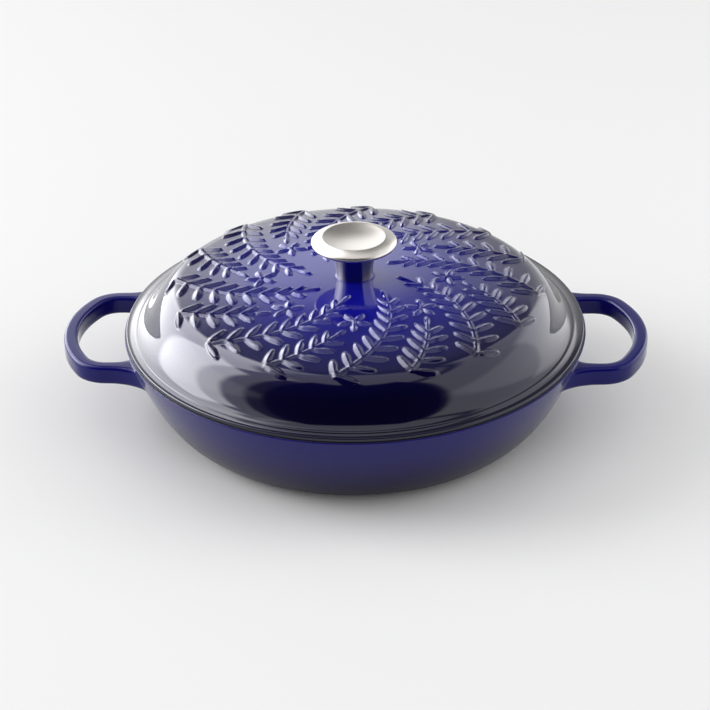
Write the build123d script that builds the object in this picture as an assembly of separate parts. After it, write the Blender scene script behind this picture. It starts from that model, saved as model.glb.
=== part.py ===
from build123d import *
import math
import os

os.makedirs("parts", exist_ok=True)

# A braiser: a shallow cast-iron pan with two cast loop handles, and a domed lid with a steel knob.
# Lengths are in millimetres and angles in degrees. The pan stands on Z = 0, everything round is
# turned about Z, and the handles lie along X.

# Pan casting
rim_radius = 155.4
rim_height = 63.0
rim_lean = 18.0
rim_run = 24.7
rim_round = 1.1
wall_spread = 45.4
base_turn = 22.6
wall_thickness = 4.4
floor_thickness = 4.6
foot_width = 14.0
foot_depth = 0.8

# Loop handles, cast in one with the pan
handle_reach = 41.8
handle_span = 108.0
handle_bar = 9.6
handle_height = 12.6
handle_drop = 4.0
handle_edge_round = 2.6
handle_tip_radius = 80.0
handle_corner_radius = 24.0
handle_root_flare = 36.0
handle_hole_round = 12.0
handle_root_bury = 1.2
root_fillet_share = 0.98
handle_join_round = 1.2

# Lid casting
flange_margin = 1.4
flange_width = 6.0
flange_thickness = 3.0
flange_round = 0.9
lid_wall = 3.8
crown_height = 37.0
crown_drop = 7.3
crown_inset = 19.3
shoulder_share = 0.5
side_inset = 12.7
side_height = 15.0
side_rise_share = 0.77
side_lean = 32.0
cove_corner_share = 0.6
lip_depth = 4.0
lip_width = 4.0
lip_clearance = 0.8
boss_margin = 0.2
boss_rise = 0.4
boss_edge = 0.2
boss_flare = 3.0

# Raised pattern cast on the lid: fronds in turn long and short, with blossoms between them
frond_count = 8
frond_root_inset = 3.0
frond_tip_radius = 38.0
short_frond_tip_radius = 80.0
frond_sweep = 34.0
frond_nodes = 8
short_frond_nodes = 4
shoulder_nodes = 1
leaf_length = 17.0
leaf_width = 5.8
leaf_rise = 1.5
leaf_root_depth = 1.5
leaf_angle = 58.0
leaf_closing = 22.0
small_leaf_share = 0.6
twig_width = 3.0
twig_rise = 1.1
twig_overlap_share = 0.15
blossom_radius = 62.0
blossom_sweep_share = 0.7
petal_count = 5
petal_length = 9.5
petal_width = 5.6
bud_width = 5.0
bud_rise = 1.7

# Enamel coats that differ from the blue outside
lining_thickness = 0.35
band_thickness = 0.3

# Knob
stem_foot_radius = 12.1
stem_foot_edge = 0.4
stem_neck_height = 15.6
stem_neck_spread = 2.3
stem_flare_height = 7.0
stem_flare_spread = 4.6
cap_radius = 28.5
cap_under_inset = 2.3
cap_edge_rise = 2.1
cap_edge_round = 1.9
cap_shoulder_rise = 4.1
cap_ridge_inset = 7.5
cap_ridge_round = 0.7
cap_dish_depth = 2.6

# Screw and washer under the lid
screw_radius = 3.0
screw_grip = 10.0
screw_head_radius = 5.8
screw_head_height = 3.4
screw_head_round = 1.6
screw_slot_width = 1.6
screw_slot_depth = 1.5
hole_clearance = 0.4
thread_clearance = 0.05
thread_spare = 2.0
washer_radius = 8.5
washer_thickness = 1.2
washer_clearance = 0.2

# How far a cut runs past what it cuts, and how near a picked edge lies to where it is looked for
overrun = 5.0
near = 0.01


def at(radius, height):
    return (radius, 0, height)


def turned(outline):
    return revolve(make_face(outline), axis=Axis.Z)


def ring(inner_radius, outer_radius, low, high):
    corners = [
        at(inner_radius, low),
        at(outer_radius, low),
        at(outer_radius, high),
        at(inner_radius, high),
    ]
    return turned(Polyline(corners, close=True))


def rim_edges(shape, radius, height):
    """The circular edges of a shape that have this radius and lie at this height."""
    found = []
    for edge in shape.edges().filter_by(GeomType.CIRCLE):
        if abs(edge.radius - radius) < near and abs(edge.center().Z - height) < near:
            found.append(edge)
    return found


def inset(poles, depths):
    """Poles of a curve that runs beside another one: each leg of the first curve's pole line moves
    to its left by its own depth, and the new poles are where the moved legs meet."""
    legs = []
    for start, end, depth in zip(poles, poles[1:], depths):
        leg = Vector(end) - Vector(start)
        shift = Vector(-leg.Y, leg.X).normalized() * depth
        legs.append((Vector(start) + shift, leg))
    moved = [legs[0][0]]
    for (p, u), (q, v) in zip(legs, legs[1:]):
        moved.append(p + u * ((q - p).cross(v).Z / u.cross(v).Z))
    start, leg = legs[-1]
    moved.append(start + leg)
    return [(pole.X, pole.Y) for pole in moved]


def curve(poles):
    return Bezier(*[at(radius, height) for radius, height in poles])


# Poles of the pan's outer wall, from the edge of the base to the rim
lean = math.radians(rim_lean)
base_radius = rim_radius - wall_spread
wall_poles = [
    (base_radius, 0),
    (base_radius + base_turn, 0),
    (rim_radius - rim_run * math.sin(lean), rim_height - rim_run * math.cos(lean)),
    (rim_radius, rim_height),
]
rim_inner_radius = rim_radius - wall_thickness / math.cos(lean)


def pan_cavity(coat):
    """The space inside the pan, less a coat of this thickness on the iron."""
    poles = inset(wall_poles, [floor_thickness + coat, wall_thickness + coat, wall_thickness + coat])
    floor, top = poles[0][1], poles[-1][1]
    outline = Line(at(0, floor), at(*poles[0]))
    outline += curve(poles)
    outline += Line(at(*poles[-1]), at(0, top))
    outline += Line(at(0, top), at(0, floor))
    return turned(outline)


def pan_bulk():
    """The pan's outer form, still full, with a shallow recess inside its foot ring."""
    foot_inner = base_radius - foot_width
    outline = Polyline(
        at(0, foot_depth),
        at(foot_inner - foot_depth, foot_depth),
        at(foot_inner, 0),
        at(base_radius, 0),
    )
    outline += curve(wall_poles)
    outline += Polyline(at(rim_radius, rim_height), at(0, rim_height), at(0, foot_depth))
    return turned(outline)


def loop_corner_centre():
    """How far from Z the corners of a handle have their centres, which is where its arms start."""
    across = handle_span / 2 - handle_corner_radius
    along = math.sqrt((handle_tip_radius - handle_corner_radius) ** 2 - across ** 2)
    return rim_radius + handle_reach - handle_tip_radius + along


def root_fillet(radius, root_radius, half, side):
    """The radius of an arm's root fillet on its outer side, 1, or its inner side, -1. It is limited
    to the length of the straight arm."""
    room = loop_corner_centre() ** 2 - root_radius ** 2 + half ** 2
    return min(radius, root_fillet_share * room / (2 * (root_radius - side * half)))


def loop_face(shrink):
    """The outline of a handle in plan, filled, drawn in on all sides by shrink."""
    half = handle_span / 2 - shrink
    tip_radius = handle_tip_radius - shrink
    corner_radius = handle_corner_radius - shrink
    tip_centre = rim_radius + handle_reach - shrink - tip_radius
    offset_y = half - corner_radius
    corner_centre = loop_corner_centre()
    turn = math.degrees(math.atan2(offset_y, corner_centre - tip_centre))
    outline = Line((0, half), (corner_centre, half))
    outline += CenterArc((corner_centre, offset_y), corner_radius, turn, 90 - turn)
    outline += CenterArc((tip_centre, 0), tip_radius, -turn, 2 * turn)
    outline += CenterArc((corner_centre, -offset_y), corner_radius, -90, 90 - turn)
    outline += Line((corner_centre, -half), (0, -half))
    outline += Line((0, -half), (0, half))
    return make_face(outline)


def corners_near(face, reach, half):
    """The two corners of a face in plan that lie on a circle about Z, at plus and minus half."""
    along = math.sqrt(reach ** 2 - half ** 2)
    return [face.vertices().sort_by_distance((along, side * half)).first for side in (1, -1)]


def loop_handle():
    """One loop handle at the +X side, with its roots running on into the wall."""
    low = rim_height - handle_drop - handle_height
    root_radius = rim_radius - (rim_height - low) * math.tan(lean) - handle_root_bury
    half = handle_span / 2
    hole_half = half - handle_bar
    plan = Circle(root_radius) + loop_face(0)
    flare = root_fillet(handle_root_flare, root_radius, half, 1)
    plan = fillet(corners_near(plan, root_radius, half), flare)
    hole = loop_face(handle_bar) - Circle(root_radius)
    hole_round = root_fillet(handle_hole_round, root_radius, hole_half, -1)
    hole = fillet(corners_near(hole, root_radius, hole_half), hole_round)
    inside = root_radius - wall_thickness
    kept = Pos(root_radius, 0) * Rectangle(root_radius, 2 * root_radius)
    plan = (plan - hole - Circle(inside)) & kept
    bar = extrude(plan, handle_height)
    rims = []
    for edge in bar.edges().group_by(Axis.Z)[0] + bar.edges().group_by(Axis.Z)[-1]:
        middle = edge.position_at(0.5)
        if math.hypot(middle.X, middle.Y) > root_radius + near:
            rims.append(edge)
    bar = fillet(rims, handle_edge_round)
    return Pos(0, 0, low) * bar


def pan_band():
    inner, outer = rim_inner_radius + rim_round, rim_radius - rim_round
    return ring(inner, outer, rim_height - band_thickness, rim_height)


def pan_casting():
    bulk = pan_bulk()
    for handle in (loop_handle(), mirror(loop_handle(), Plane.YZ)):
        joined = bulk + handle
        bulk = fillet(new_edges(bulk, handle, combined=joined), handle_join_round)
    casting = bulk - pan_cavity(0)
    rims = rim_edges(casting, rim_radius, rim_height)
    casting = fillet(rims, rim_round)
    return casting - pan_band()


def pan_lining():
    top = rim_height - rim_round
    skin = pan_cavity(0) - pan_cavity(lining_thickness)
    return skin - ring(0, rim_radius, top, rim_height + overrun)


# The lid's top is a shallow ball-shaped crown round the boss, and then curves with these poles: the
# shoulder with the side, and the cove below
tilt = math.radians(side_lean)
boss_radius = stem_foot_radius + boss_margin
boss_foot = boss_radius + boss_flare
boss_height = crown_height + boss_rise
lid_radius = rim_radius - flange_margin
flange_inner = lid_radius - flange_width
side_radius = flange_inner - side_inset
crown_reach = side_radius - crown_inset
crown_radius = (crown_reach ** 2 + crown_drop ** 2) / (2 * crown_drop)
crown_slope = crown_reach / (crown_radius - crown_drop)
side_rise = (crown_height - crown_drop - side_height) * side_rise_share
side_top_radius = side_radius - side_rise * math.tan(tilt)
shoulder_run = (side_top_radius - crown_reach) * shoulder_share
shoulder_poles = [
    (crown_reach, crown_height - crown_drop),
    (crown_reach + shoulder_run, crown_height - crown_drop - shoulder_run * crown_slope),
    (side_top_radius, side_height + side_rise),
    (side_radius, side_height),
]
cove_drop = side_height - flange_thickness
cove_poles = [
    (side_radius, side_height),
    (side_radius + cove_drop * math.tan(tilt), flange_thickness),
    (flange_inner, flange_thickness),
]
lip_radius = rim_inner_radius - lip_depth * math.tan(lean) - lining_thickness - lip_clearance


def crown_level(radius, depth):
    """Height of the crown at a radius, or of what lies a depth under it."""
    return crown_height - crown_radius + math.sqrt((crown_radius - depth) ** 2 - radius ** 2)


def crown_arc(end_radius, depth):
    """The crown's arc from the foot of the boss to a radius, at a depth under the surface."""
    ball = crown_radius - depth
    start, end = [math.degrees(math.acos(radius / ball)) for radius in (boss_foot, end_radius)]
    return Plane.XZ * CenterArc((0, crown_height - crown_radius), ball, start, end - start)


def lid_hollow(coat):
    """The space under the lid down to the end of its lip, less a coat of this thickness. It is
    flat round the screw."""
    depth = lid_wall + coat
    shoulder = inset(shoulder_poles, [-depth, -depth, -depth])
    top, side_foot = crown_level(boss_foot, depth), shoulder[-1]
    cove_height = flange_thickness - depth
    lip_inner = lip_radius - lip_width - coat
    cove_corner = side_foot[0] + (lip_inner - side_foot[0]) * cove_corner_share
    outline = Line(at(0, top), at(boss_foot, top))
    outline += crown_arc(shoulder[0][0], depth)
    outline += curve(shoulder)
    outline += curve([side_foot, (cove_corner, cove_height), (lip_inner, cove_height)])
    outline += Polyline(at(lip_inner, cove_height), at(lip_inner, -lip_depth), at(0, -lip_depth))
    outline += Line(at(0, -lip_depth), at(0, top))
    return turned(outline)


def lid_bulk():
    """The lid's outer form, still full: boss, flare, crown, side, cove, flange and lip."""
    top_radius, shoulder = boss_radius - boss_edge, boss_height - boss_edge
    outline = Polyline(at(0, -lip_depth), at(0, boss_height), at(top_radius, boss_height))
    outline += curve([(top_radius, boss_height), (boss_radius, boss_height), (boss_radius, shoulder)])
    foot = crown_level(boss_foot, 0)
    outline += curve([(boss_radius, shoulder), (boss_radius, foot), (boss_foot, foot)])
    outline += crown_arc(crown_reach, 0)
    outline += curve(shoulder_poles)
    outline += curve(cove_poles)
    outline += Polyline(
        at(flange_inner, flange_thickness),
        at(lid_radius, flange_thickness),
        at(lid_radius, 0),
        at(lip_radius, 0),
        at(lip_radius, -lip_depth),
        at(0, -lip_depth),
    )
    return turned(outline)


def lid_band():
    return ring(lip_radius, lid_radius - flange_round, 0, band_thickness)


def in_plan(distance, turn):
    return Vector(distance * math.cos(math.radians(turn)), distance * math.sin(math.radians(turn)))


def leaf(length, width, rise):
    """A raised leaf along X with a ridge along its middle: what two balls share. It goes on under
    the surface, at Z = 0, as a root."""
    bow = ((length / 2) ** 2 + (width / 2) ** 2) / width
    depth = ((length / 2) ** 2 - rise ** 2) / (2 * rise)
    ball = Sphere(math.hypot(bow, depth))
    offset = bow - width / 2
    shared = Pos(0, offset, -depth) * ball & Pos(0, -offset, -depth) * ball
    return cut_root(shared, length)


def bud(width, rise):
    """A raised round knob, which is the top of a ball."""
    depth = ((width / 2) ** 2 - rise ** 2) / (2 * rise)
    return cut_root(Pos(0, 0, -depth) * Sphere(depth + rise), width)


def cut_root(form, length):
    room = 2 * length
    return form & Pos(0, 0, length - leaf_root_depth) * Box(room, room, room)


def on_lid(form, middle, heading):
    """A form laid on the lid's top, turned to its heading. The point in plan that it lies over is
    given as if the shoulder were flattened out from the crown's edge."""
    turn = math.degrees(math.atan2(middle.Y, middle.X))
    past_crown = middle.length - crown_reach
    if past_crown > 0:
        shoulder = curve(shoulder_poles)
        spot = shoulder.position_at(past_crown, position_mode=PositionMode.LENGTH)
        fall = shoulder.tangent_at(past_crown, position_mode=PositionMode.LENGTH)
    else:
        spot = Vector(*at(middle.length, crown_level(middle.length, 0)))
        fall = (spot - Vector(*at(0, crown_height - crown_radius))).cross(Vector(0, -1, 0)).normalized()
    place = Plane(origin=spot, x_dir=fall, z_dir=fall.cross(Vector(0, 1, 0))).location
    return Rot(0, 0, turn) * place * Rot(0, 0, heading - turn) * form


def laid_leaf(start, heading, length, width, rise):
    """A leaf on the lid that starts at a point in plan and runs along its heading."""
    return on_lid(leaf(length, width, rise), start + in_plan(length / 2, heading), heading)


def frond(turn, tip_radius, nodes):
    """A frond that swings inwards from the lid's shoulder, with a pair of leaves at each node and one
    at its tip. The leaves shrink and close towards the tip."""
    root_radius = crown_reach - frond_root_inset
    sweep = frond_sweep * (root_radius - tip_radius) / (root_radius - frond_tip_radius)

    def stem_point(node):
        share = node / nodes
        return in_plan(root_radius + (tip_radius - root_radius) * share, turn + sweep * share)

    forms = []
    for node in range(-shoulder_nodes, nodes + 1):
        end = stem_point(node)
        step = end - stem_point(node - 1)
        heading = math.degrees(math.atan2(step.Y, step.X))
        if node > -shoulder_nodes:
            overlap = step * twig_overlap_share
            start = end - step - overlap
            forms.append(laid_leaf(start, heading, (step + 2 * overlap).length, twig_width, twig_rise))
        share = max(0, node / nodes)
        size = 1 - (1 - small_leaf_share) * share ** 2
        angle = leaf_angle - leaf_closing * share
        sides = (1, -1) if node < nodes else (0,)
        for side in sides:
            direction = heading + side * angle
            forms.append(laid_leaf(end, direction, leaf_length * size, leaf_width * size, leaf_rise))
    return forms


def blossom(turn):
    """Petals round a bud."""
    centre = in_plan(blossom_radius, turn)
    forms = [on_lid(bud(bud_width, bud_rise), centre, turn)]
    for petal in range(petal_count):
        heading = turn + 360 * petal / petal_count
        start = centre + in_plan(bud_width / 4, heading)
        forms.append(laid_leaf(start, heading, petal_length, petal_width, leaf_rise))
    return forms


def lid_relief():
    pitch = 360 / frond_count
    sector = frond(0, frond_tip_radius, frond_nodes)
    sector += frond(pitch / 2, short_frond_tip_radius, short_frond_nodes)
    sector += blossom(pitch / 2 + frond_sweep * blossom_sweep_share)
    return [Rot(0, 0, index * pitch) * form for index in range(frond_count) for form in sector]


def lid_casting():
    casting = lid_bulk().fuse(*lid_relief()) - lid_hollow(0)
    rims = rim_edges(casting, lid_radius, flange_thickness) + rim_edges(casting, lid_radius, 0)
    casting = fillet(rims, flange_round)
    return casting - lid_band() - screw_hole()


def lid_lining():
    return lid_hollow(0) - lid_hollow(lining_thickness) - screw_hole()


def screw_hole():
    return ring(0, screw_radius + hole_clearance, -lip_depth, boss_height + overrun)


# Heights above the lid's seat of what hangs under the crown
lining_under = crown_level(boss_foot, lid_wall + lining_thickness)
washer_under = lining_under - washer_thickness


def screw_washer():
    return ring(screw_radius + washer_clearance, washer_radius, washer_under, lining_under)


def knob_screw():
    """A pan-head screw with a slot, its head down under the washer."""
    low, high = washer_under - screw_head_height, washer_under + screw_length
    edge, crown_radius = low + screw_head_round, screw_head_radius - screw_head_round
    outline = Polyline(at(0, high), at(0, low), at(crown_radius, low))
    outline += curve([(crown_radius, low), (screw_head_radius, low), (screw_head_radius, edge)])
    outline += Polyline(
        at(screw_head_radius, edge),
        at(screw_head_radius, washer_under),
        at(screw_radius, washer_under),
        at(screw_radius, high),
        at(0, high),
    )
    slot = Pos(0, 0, low) * Box(2 * screw_head_radius + overrun, screw_slot_width, 2 * screw_slot_depth)
    return turned(outline) - slot


screw_length = boss_height - washer_under + screw_grip


# Heights and radii of the knob, from its seat on the boss
stem_height = stem_neck_height + stem_flare_height
stem_neck_radius = stem_foot_radius + stem_neck_spread
stem_top_radius = stem_neck_radius + stem_flare_spread
cap_widest = stem_height + cap_edge_rise
cap_height = cap_widest + cap_shoulder_rise
cap_under_radius = cap_radius - cap_under_inset
cap_ridge_radius = cap_radius - cap_ridge_inset


def knob_stem():
    """The knob's stem: a foot, a neck that widens upwards, and a trumpet under the cap."""
    outline = Polyline(
        at(0, 0),
        at(stem_foot_radius - stem_foot_edge, 0),
        at(stem_foot_radius, stem_foot_edge),
    )
    outline += curve([
        (stem_foot_radius, stem_foot_edge),
        (stem_foot_radius, stem_neck_height / 2),
        (stem_neck_radius, stem_neck_height),
    ])
    slope = stem_neck_spread * 2 / stem_neck_height
    outline += curve([
        (stem_neck_radius, stem_neck_height),
        (stem_neck_radius + stem_flare_height * slope, stem_height),
        (stem_top_radius, stem_height),
    ])
    outline += Polyline(at(stem_top_radius, stem_height), at(0, stem_height), at(0, 0))
    bore = ring(0, screw_radius + thread_clearance, 0, screw_grip + thread_spare)
    return turned(outline) - bore


def knob_cap():
    """The dished disc on top of the stem."""
    outline = Polyline(at(0, stem_height), at(cap_under_radius, stem_height))
    outline += curve([
        (cap_under_radius, stem_height),
        (cap_radius, stem_height),
        (cap_radius, cap_widest),
    ])
    outline += curve([
        (cap_radius, cap_widest),
        (cap_radius, cap_widest + cap_edge_round),
        (cap_ridge_radius, cap_height),
    ])
    outline += ThreePointArc(
        at(cap_ridge_radius, cap_height),
        at(cap_ridge_radius / 2, cap_height - cap_dish_depth * 3 / 4),
        at(0, cap_height - cap_dish_depth),
    )
    outline += Line(at(0, cap_height - cap_dish_depth), at(0, stem_height))
    cap = turned(outline)
    return fillet(rim_edges(cap, cap_ridge_radius, cap_height), cap_ridge_round)


on_rim = Pos(0, 0, rim_height)
on_boss = Pos(0, 0, rim_height + boss_height)

nodes = {
    "pan_casting": pan_casting(),
    "pan_interior_enamel": pan_lining(),
    "pan_rim_enamel": pan_band(),
    "lid_casting": on_rim * lid_casting(),
    "lid_interior_enamel": on_rim * lid_lining(),
    "lid_rim_enamel": on_rim * lid_band(),
    "screw_washer": on_rim * screw_washer(),
    "knob_screw": on_rim * knob_screw(),
    "knob_stem": on_boss * knob_stem(),
    "knob_cap": on_boss * knob_cap(),
}

for name, shape in nodes.items():
    export_step(shape, f"parts/{name}.step")
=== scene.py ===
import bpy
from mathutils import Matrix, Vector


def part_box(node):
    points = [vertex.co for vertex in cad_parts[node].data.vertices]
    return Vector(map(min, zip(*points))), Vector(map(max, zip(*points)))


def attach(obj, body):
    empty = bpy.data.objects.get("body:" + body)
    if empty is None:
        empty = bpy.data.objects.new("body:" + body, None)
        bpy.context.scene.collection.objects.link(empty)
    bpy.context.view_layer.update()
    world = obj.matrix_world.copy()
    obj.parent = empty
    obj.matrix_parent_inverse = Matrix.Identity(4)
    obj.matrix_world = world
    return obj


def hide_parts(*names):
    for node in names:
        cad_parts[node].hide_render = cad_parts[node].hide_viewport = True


bl_info = {
    "name": "Enamelled braiser",
    "version": (1, 0, 0),
    "blender": (4, 5, 0),
    "location": "View3D > Sidebar > Braiser",
    "description": "Dresses the packed CAD model of a cast-iron braiser and sets up its studio",
    "category": "Object",
}

import math

import bmesh
import bpy
import numpy as np
from bpy.props import FloatProperty, FloatVectorProperty, IntProperty, PointerProperty
from mathutils import Matrix, Vector

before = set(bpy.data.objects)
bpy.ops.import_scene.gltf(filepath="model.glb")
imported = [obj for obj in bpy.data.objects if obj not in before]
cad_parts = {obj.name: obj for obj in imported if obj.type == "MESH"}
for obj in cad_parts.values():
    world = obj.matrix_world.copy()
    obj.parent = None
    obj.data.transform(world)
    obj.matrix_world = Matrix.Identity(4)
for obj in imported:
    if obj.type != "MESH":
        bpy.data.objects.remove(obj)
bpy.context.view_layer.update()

# Height of the pan's rim, on which the lid rests
RIM_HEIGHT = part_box("pan_casting")[1][2]

# One millimetre in Blender's metres, and the distance under which two points are one
MM = 0.001
MERGE = 0.002 * MM


def length(label, about, millimetres):
    return FloatProperty(name=label, description=about, default=millimetres * MM, unit="LENGTH")


def angle(label, about, degrees):
    return FloatProperty(name=label, description=about, default=math.radians(degrees), subtype="ANGLE")


def share(label, about, value):
    return FloatProperty(name=label, description=about, default=value, min=0, max=1, subtype="FACTOR")


def number(label, about, value):
    return FloatProperty(name=label, description=about, default=value)


def count(label, about, value):
    return IntProperty(name=label, description=about, default=value, min=1)


def colour(label, about, red, green, blue):
    return FloatVectorProperty(
        name=label, description=about, default=(red, green, blue), min=0, max=1, subtype="COLOR"
    )


class BraiserPanSizes(bpy.types.PropertyGroup):
    rim_radius: length("Rim radius", "Outer radius of the pan at its rim", 155.4)
    rim_lean: angle("Rim lean", "How far the wall leans out at the rim", 18)
    rim_run: length("Rim run", "Length over which the wall keeps that lean", 24.7)
    rim_round: length("Rim round", "Rounding of the rim's edges", 1.1)
    wall_spread: length("Wall spread", "How much wider the rim is than the base, on the radius", 45.4)
    base_turn: length("Base turn", "Width of the turn from the base into the wall", 22.6)
    wall: length("Wall", "Thickness of the iron wall", 4.4)
    floor: length("Floor", "Thickness of the iron floor", 4.6)
    foot_width: length("Foot width", "Width of the ring that the pan stands on", 14.0)
    foot_depth: length("Foot depth", "Depth of the recess inside that ring", 0.8)
    lining: length("Lining", "Thickness of the pale enamel inside", 0.35)
    band: length("Band", "Thickness of the black enamel on the rim", 0.3)


class BraiserHandleSizes(bpy.types.PropertyGroup):
    reach: length("Reach", "How far a handle stands out from the rim", 41.8)
    span: length("Span", "Width of a handle across its arms", 108.0)
    bar: length("Bar", "Width of the handle's bar", 9.6)
    height: length("Height", "Height of the handle's bar", 12.6)
    drop: length("Drop", "How far the handle's top lies under the rim", 4.0)
    tip_radius: length("Tip radius", "Outer radius of the handle's end", 80.0)
    corner_radius: length("Corner radius", "Outer radius of the handle's corners", 24.0)
    root_flare: length("Root flare", "Radius of the fillet outside each arm", 36.0)
    hole_round: length("Hole round", "Radius of the fillet inside each arm", 12.0)
    bury: length("Bury", "How far a root starts inside the wall", 1.2)
    side_share: share("Side share", "Where the bar's side rows lie, from its edges", 0.38)


class BraiserLidSizes(bpy.types.PropertyGroup):
    flange_margin: length("Flange margin", "How far the flange stays inside the rim", 1.4)
    flange_width: length("Flange width", "Width of the flat flange", 6.0)
    flange: length("Flange", "Thickness of the flange", 3.0)
    flange_round: length("Flange round", "Rounding of the flange's edges", 0.9)
    wall: length("Wall", "Thickness of the iron lid", 3.8)
    crown_height: length("Crown height", "Height of the lid's middle above the rim", 37.0)
    crown_drop: length("Crown drop", "How much the crown falls on its way out", 7.3)
    crown_inset: length("Crown inset", "Where the crown ends, inside the foot of the side", 19.3)
    shoulder_share: share("Shoulder share", "Fullness of the shoulder", 0.5)
    side_inset: length("Side inset", "Where the side's foot lies, inside the flange", 12.7)
    side_height: length("Side height", "Height at which the side turns into the cove", 15.0)
    side_rise_share: share("Side rise share", "Steepness of the shoulder's end", 0.77)
    side_lean: angle("Side lean", "Lean of the side", 32)
    cove_step: length("Cove step", "Height of the step from the cove down to the flange", 0.6)
    lip_depth: length("Lip depth", "Depth of the lip that holds the lid in place", 4.0)
    lip_width: length("Lip width", "Width of that lip", 4.0)
    lip_clearance: length("Lip clearance", "Room between the lip and the pan", 0.8)
    cove_corner_share: share("Cove corner share", "Shape of the cove's inside", 0.6)
    boss_rise: length("Boss rise", "Height of the knob's seat above the crown", 0.4)
    boss_edge: length("Boss edge", "Rounding of the seat", 0.2)
    boss_margin: length("Boss margin", "How much wider the seat is than the knob", 0.2)
    boss_flare: length("Boss flare", "Width of the seat's foot", 3.0)
    hole_radius: length("Hole radius", "Radius of the hole for the screw", 3.4)
    lining: length("Lining", "Thickness of the pale enamel inside", 0.35)
    band: length("Band", "Thickness of the black enamel under the flange", 0.3)


class BraiserReliefSizes(bpy.types.PropertyGroup):
    fronds: count("Fronds", "How many long fronds go round the lid, with a short one after each", 8)
    root_inset: length("Root inset", "How far inside the crown's edge the fronds' first nodes lie", 3.0)
    tip_radius: length("Tip radius", "How near to the middle the long fronds reach", 38.0)
    short_tip_radius: length("Short tip radius", "How near to the middle the short fronds reach", 80.0)
    sweep: angle("Sweep", "How far a long frond turns on its way to the middle", 34)
    nodes: count("Nodes", "Pairs of leaves on a long frond", 8)
    short_nodes: count("Short nodes", "Pairs of leaves on a short frond", 4)
    shoulder_nodes: count("Shoulder nodes", "Pairs of leaves on a frond's stretch down the shoulder", 1)
    leaf_length: length("Leaf length", "Length of the longest leaves", 17.0)
    leaf_width: length("Leaf width", "Width of the longest leaves", 6.4)
    rise: length("Rise", "Height of the raised leaves", 1.5)
    leaf_angle: angle("Leaf angle", "Angle between a leaf and its twig at the root", 58)
    leaf_closing: angle("Leaf closing", "How much that angle shrinks towards the tip", 22)
    small_leaf_share: share("Small leaf share", "Size of the leaf at the tip", 0.6)
    twig_width: length("Twig width", "Width of the twigs", 3.0)
    twig_rise: length("Twig rise", "Height of the twigs", 1.1)
    blossom_radius: length("Blossom radius", "Where the blossoms lie", 62.0)
    blossom_sweep_share: share("Blossom sweep share", "How far round the blossoms lie, in sweeps", 0.7)
    petals: count("Petals", "Petals of a blossom", 5)
    petal_length: length("Petal length", "Length of the petals", 9.5)
    petal_width: length("Petal width", "Width of the petals", 5.6)
    bud_width: length("Bud width", "Width of the bud in a blossom", 5.0)
    bud_rise: length("Bud rise", "Height of that bud", 1.7)
    softness: share("Softness", "How much of a leaf's half width its rounded flank takes", 0.85)


class BraiserKnobSizes(bpy.types.PropertyGroup):
    foot_radius: length("Foot radius", "Radius of the stem's foot", 12.1)
    foot_edge: length("Foot edge", "Bevel of the stem's foot", 0.4)
    neck_height: length("Neck height", "Height of the slim part of the stem", 15.6)
    neck_spread: length("Neck spread", "How much the neck widens upwards", 2.3)
    flare_height: length("Flare height", "Height of the trumpet under the cap", 7.0)
    flare_spread: length("Flare spread", "How much the trumpet widens", 4.6)
    cap_radius: length("Cap radius", "Radius of the cap", 28.5)
    under_inset: length("Under inset", "How much narrower the cap is underneath", 2.3)
    edge_rise: length("Edge rise", "Height of the cap's widest line above its underside", 2.1)
    edge_round: length("Edge round", "Fullness of the cap's edge", 1.9)
    shoulder_rise: length("Shoulder rise", "Height from the widest line to the ridge", 4.1)
    ridge_inset: length("Ridge inset", "Where the ridge lies, inside the edge", 7.5)
    ridge_round: length("Ridge round", "Rounding of the ridge", 0.7)
    dish_depth: length("Dish depth", "Depth of the dish in the cap", 2.6)
    bore_radius: length("Bore radius", "Radius of the stem's bore", 3.05)
    bore_depth: length("Bore depth", "Depth of the stem's bore", 12.0)


class BraiserColours(bpy.types.PropertyGroup):
    lid_middle: colour("Lid middle", "Blue enamel round the knob", 0.004, 0.004, 0.26)
    lid_edge: colour("Lid edge", "Blue enamel at the lid's edge", 0.002, 0.0015, 0.01)
    pan_top: colour("Pan top", "Blue enamel at the pan's rim and handles", 0.005, 0.004, 0.105)
    pan_foot: colour("Pan foot", "Blue enamel at the pan's foot", 0.007, 0.003, 0.02)
    lining: colour("Lining", "Pale enamel inside", 0.8, 0.74, 0.6)
    rim: colour("Rim", "Black enamel on the rims", 0.02, 0.02, 0.024)
    cap: colour("Cap", "Brushed steel of the cap", 0.7, 0.665, 0.63)
    stem: colour("Stem", "Polished steel of the stem", 0.34, 0.33, 0.34)
    screw: colour("Screw", "Steel of the screw and washer", 0.6, 0.6, 0.6)
    floor: colour("Floor", "The surface that the pan stands on", 0.84, 0.84, 0.84)


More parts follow.
